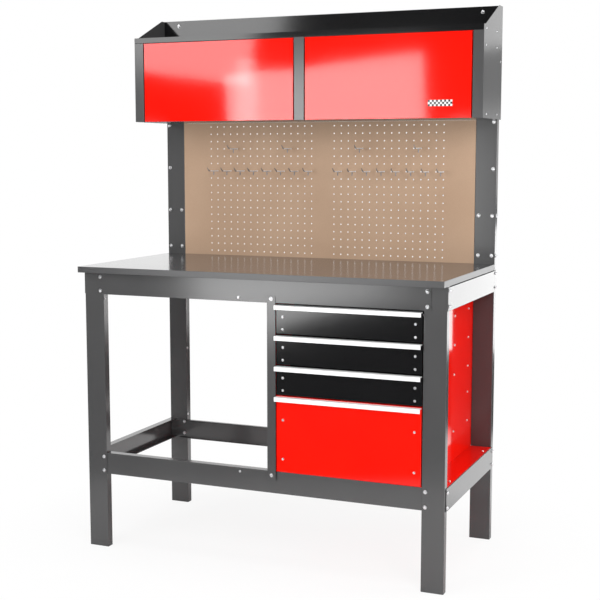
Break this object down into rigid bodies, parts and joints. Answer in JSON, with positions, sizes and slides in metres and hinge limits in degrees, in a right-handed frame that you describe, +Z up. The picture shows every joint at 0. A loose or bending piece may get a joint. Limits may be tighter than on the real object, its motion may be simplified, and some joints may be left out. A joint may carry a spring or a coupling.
{
  "type": "workbench",
  "caption": "Steel workbench with a drawer unit on the right, a perforated back board with wire hooks and an upper cabinet with flap doors.",
  "frame": {"origin": "on the floor under the middle of the overall box", "axes": "+Z up, -Y towards the user, +X to the user's right, where the drawers are"},
  "size_m": [1.208, 0.615, 1.737],
  "materials": {
    "frame_paint": "satin dark grey paint",
    "worktop_grey": "glossy dark grey laminate on board",
    "red_paint": "glossy red paint",
    "black_paint": "glossy black paint",
    "white_handle": "white satin",
    "tan_board": "matt tan hardboard",
    "bright_wire": "bright zinc"
  },
  "bodies": {
    "bench": {"leg_front_left": "frame_paint", "leg_front_right": "frame_paint", "leg_rear_left": "frame_paint", "leg_rear_right": "frame_paint", "upright_left": "frame_paint", "upright_right": "frame_paint", "top_rail_front": "frame_paint", "top_rail_rear": "frame_paint", "top_rail_left": "frame_paint", "top_rail_right": "frame_paint", "lower_rail_front": "frame_paint", "lower_rail_rear": "frame_paint", "lower_rail_left": "frame_paint", "lower_rail_right": "frame_paint", "worktop": "worktop_grey", "drawer_housing": "red_paint", "drawer_unit_floor": "red_paint", "drawer_unit_post": "frame_paint", "perforated_board": "tan_board", "cabinet_side_left": "frame_paint", "cabinet_side_right": "frame_paint", "cabinet_back": "black_paint", "cabinet_bottom": "frame_paint", "cabinet_top_tray": "black_paint", "cabinet_centre_post": "frame_paint", "hook_upper_1": "bright_wire", "hook_upper_2": "bright_wire", "hook_upper_3": "bright_wire", "hook_upper_4": "bright_wire", "hook_lower_1": "bright_wire", "hook_lower_2": "bright_wire", "hook_lower_3": "bright_wire", "hook_lower_4": "bright_wire", "hook_lower_5": "bright_wire", "hook_lower_6": "bright_wire", "hook_lower_7": "bright_wire", "hook_lower_8": "bright_wire", "hook_lower_9": "bright_wire", "hook_lower_10": "bright_wire", "hook_lower_11": "bright_wire", "hook_lower_12": "bright_wire", "hook_lower_13": "bright_wire", "hook_lower_14": "bright_wire", "hook_lower_15": "bright_wire", "hook_lower_16": "bright_wire"},
    "drawer_1": {"drawer_1_box": "black_paint", "drawer_1_front": "black_paint", "drawer_1_handle": "white_handle"},
    "drawer_2": {"drawer_2_box": "black_paint", "drawer_2_front": "black_paint", "drawer_2_handle": "white_handle"},
    "drawer_3": {"drawer_3_box": "black_paint", "drawer_3_front": "black_paint", "drawer_3_handle": "white_handle"},
    "drawer_4": {"drawer_4_box": "red_paint", "drawer_4_front": "red_paint", "drawer_4_handle": "white_handle"},
    "door_left": {"door_left": "red_paint"},
    "door_right": {"door_right": "red_paint"}
  },
  "joints": [
    {"name": "drawer_1_slide", "type": "slide", "parent": "bench", "child": "drawer_1", "axis": [0, -1, 0], "range_m": [0, 0.38]},
    {"name": "drawer_2_slide", "type": "slide", "parent": "bench", "child": "drawer_2", "axis": [0, -1, 0], "range_m": [0, 0.38]},
    {"name": "drawer_3_slide", "type": "slide", "parent": "bench", "child": "drawer_3", "axis": [0, -1, 0], "range_m": [0, 0.38]},
    {"name": "drawer_4_slide", "type": "slide", "parent": "bench", "child": "drawer_4", "axis": [0, -1, 0], "range_m": [0, 0.38]},
    {"name": "door_left_hinge", "type": "hinge", "parent": "bench", "child": "door_left", "pos_m": [-0.29425, 0.0741, 1.6419], "axis": [-1, 0, 0], "range_deg": [0, 90]},
    {"name": "door_right_hinge", "type": "hinge", "parent": "bench", "child": "door_right", "pos_m": [0.29425, 0.0741, 1.6419], "axis": [-1, 0, 0], "range_deg": [0, 90]}
  ]
}
